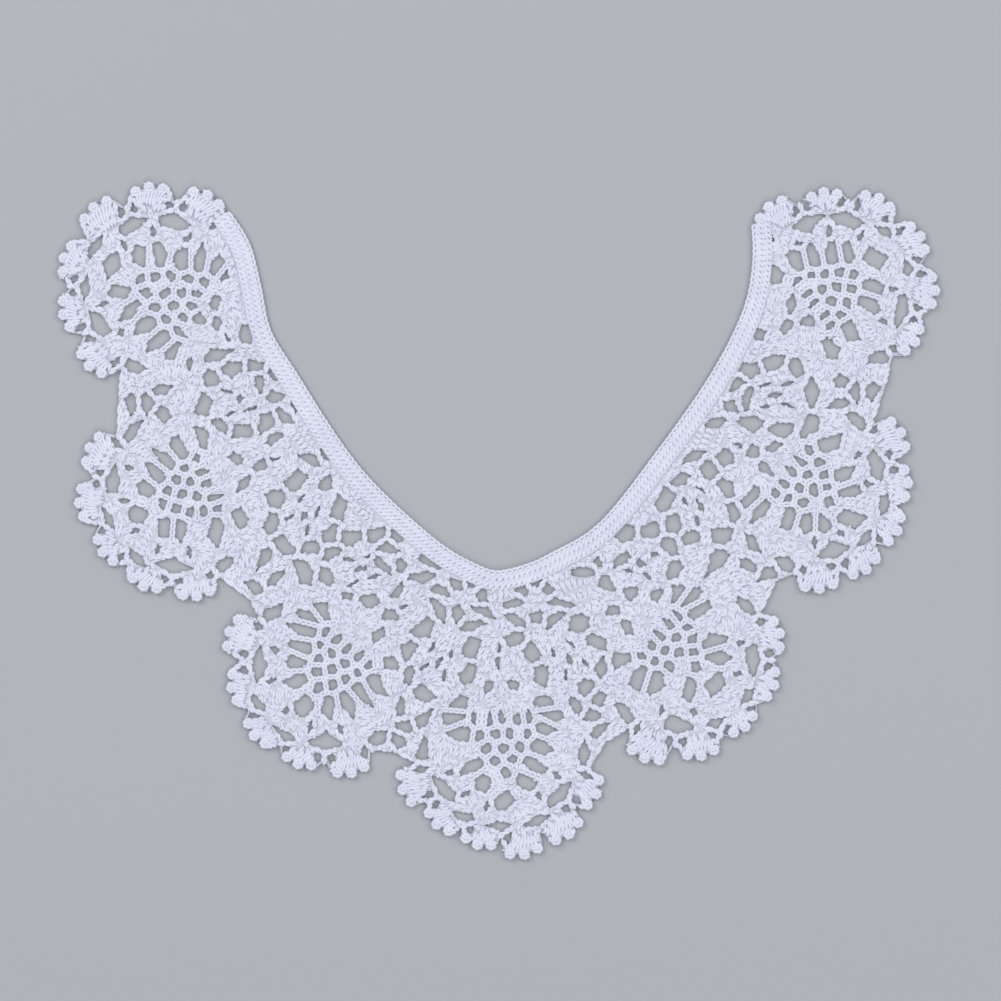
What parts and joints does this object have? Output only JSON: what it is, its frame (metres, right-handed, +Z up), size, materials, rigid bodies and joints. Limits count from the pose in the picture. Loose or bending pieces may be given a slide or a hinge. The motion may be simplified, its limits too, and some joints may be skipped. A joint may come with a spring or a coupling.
{
  "type": "crochet neck applique",
  "caption": "Flat cotton lace collar, crocheted in a deep U: a solid neckband, a yoke of triangles and leaves, and pineapple scallops edged with picot fans.",
  "frame": {"origin": "centre of the collar's outline, on the surface that it lies on", "axes": "+Z up from that surface, +X to the right across the open ends, +Y from the point of the collar to the open ends"},
  "size_m": [0.34, 0.2612, 0.0024],
  "materials": {
    "neckband_cotton": "matte white mercerised cotton thread, close double crochet",
    "yoke_cotton": "matte white mercerised cotton thread, open double crochet",
    "pineapple_cotton": "matte white mercerised cotton thread, chain arches and shells",
    "edging_cotton": "matte white mercerised cotton thread, picot fans"
  },
  "bodies": {
    "root": {"neckband": "neckband_cotton", "yoke_1": "yoke_cotton", "yoke_2": "yoke_cotton", "yoke_3": "yoke_cotton", "yoke_4": "yoke_cotton", "yoke_5": "yoke_cotton", "yoke_6": "yoke_cotton", "pineapple_1": "pineapple_cotton", "pineapple_2": "pineapple_cotton", "pineapple_3": "pineapple_cotton", "pineapple_4": "pineapple_cotton", "pineapple_5": "pineapple_cotton", "pineapple_6": "pineapple_cotton", "pineapple_7": "pineapple_cotton", "edging_1": "edging_cotton", "edging_2": "edging_cotton", "edging_3": "edging_cotton", "edging_4": "edging_cotton", "edging_5": "edging_cotton", "edging_6": "edging_cotton", "edging_7": "edging_cotton"}
  },
  "joints": []
}
